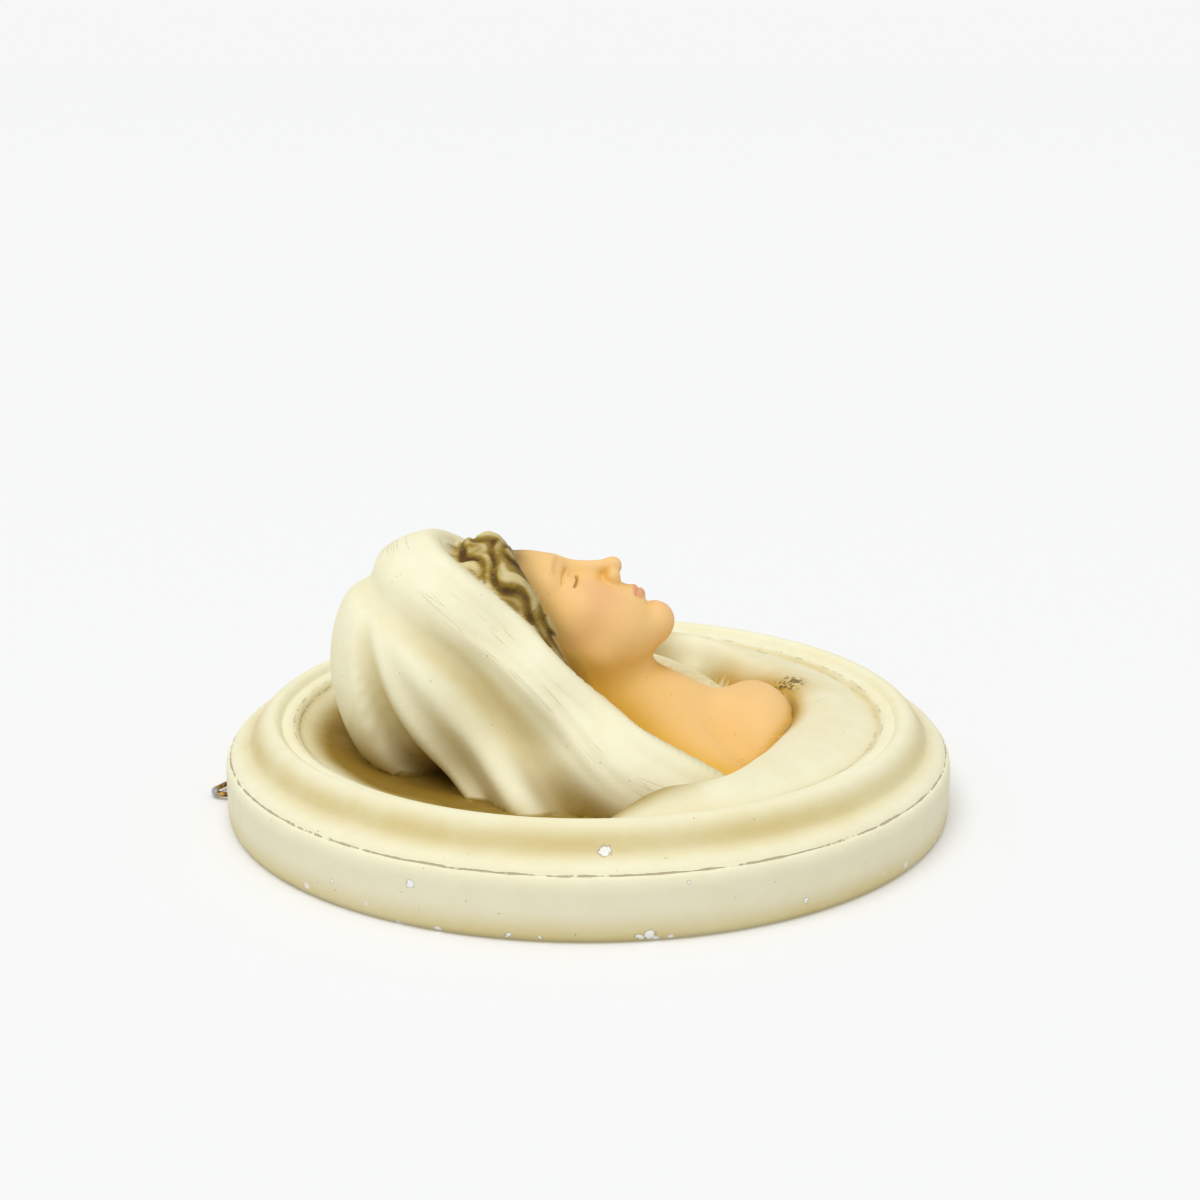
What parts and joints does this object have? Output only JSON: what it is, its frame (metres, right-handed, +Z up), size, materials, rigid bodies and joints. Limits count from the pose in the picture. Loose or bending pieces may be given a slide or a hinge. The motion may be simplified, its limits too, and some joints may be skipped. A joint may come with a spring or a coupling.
{
  "type": "decorative wall plaque",
  "caption": "Round plaster wall plaque: a moulded frame round a dished field, with a veiled young woman's head and shoulders in very high relief, and a wire loop to hang it.",
  "frame": {"origin": "centre of the flat back, on the wall's face", "axes": "+Z up, the crown of the head; -Y out of the wall towards the viewer; +Y into the wall; +X to the viewer's right"},
  "size_m": [0.368, 0.1378, 0.3783],
  "materials": {
    "painted_plaster": "satin ivory paint on cast plaster, airbrushed tan in the hollows, peach on the skin, with chips and specks",
    "loop_wire": "dull, rust-brown brass wire with a grey tip"
  },
  "bodies": {
    "root": {"plaster_relief": "painted_plaster", "hanging_loop": "loop_wire"}
  },
  "joints": []
}
